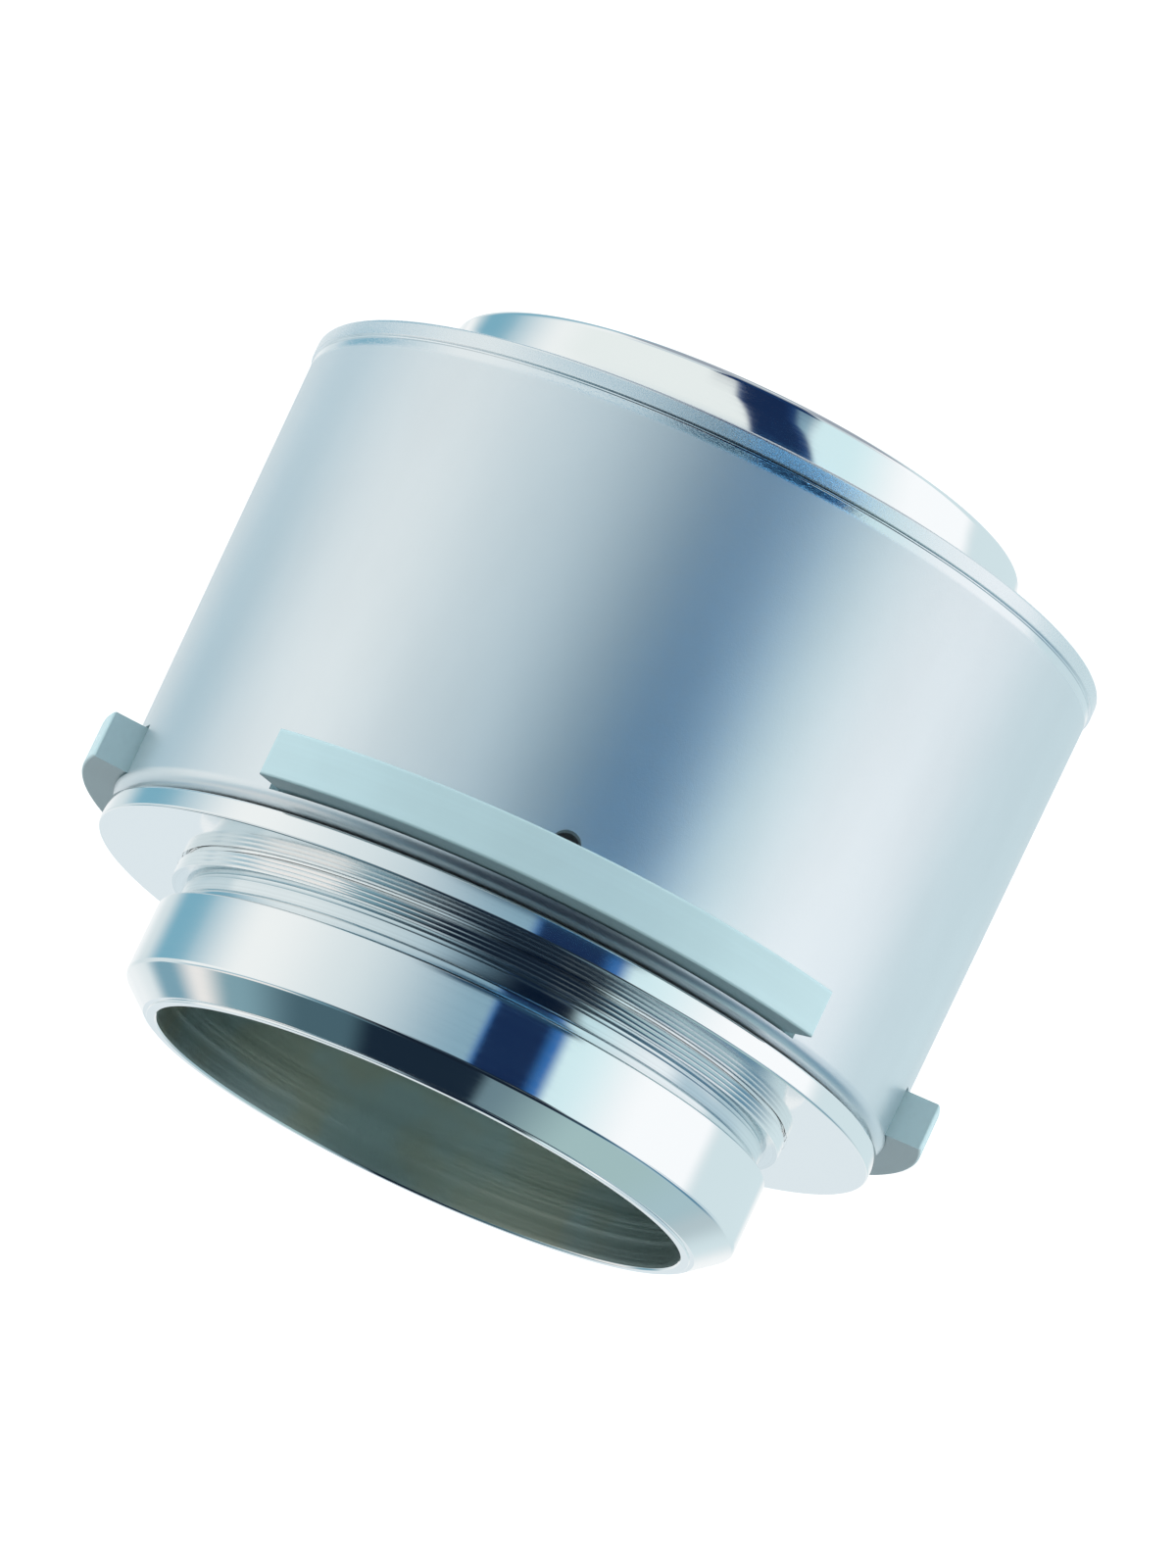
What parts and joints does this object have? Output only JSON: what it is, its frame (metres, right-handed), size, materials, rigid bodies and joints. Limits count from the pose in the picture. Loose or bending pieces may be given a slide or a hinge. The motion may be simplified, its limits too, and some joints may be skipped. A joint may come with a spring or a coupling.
{
  "type": "press fitting adapter",
  "caption": "Press fitting adapter with a plated spigot and flange, a stainless press sleeve for composite pipe and a plastic stop ring with lugs.",
  "frame": {"origin": "on the axis of the flow bore, in the plane of the nose's end face, on which the part stands", "axes": "+Z along the flow axis from the nose (pipe end) to the mouth of the spigot, -Y through the middle of one lug"},
  "size_m": [0.128, 0.124, 0.1071],
  "materials": {
    "body": "polished tin plating over brass",
    "sleeve": "satin stainless steel",
    "ring": "moulded plastic, pale blue grey",
    "seal": "smooth black rubber"
  },
  "bodies": {
    "fitting_body": {"adapter_body": "body", "inner_seal_ring": "seal", "outer_seal_ring": "seal"},
    "sleeve": {"press_sleeve": "sleeve", "stop_ring": "ring"}
  },
  "joints": [
    {"name": "sleeve_turn", "type": "hinge", "parent": "fitting_body", "child": "sleeve", "pos_m": [0, 0, 0.0767], "axis": [0, 0, 1], "continuous": true}
  ]
}
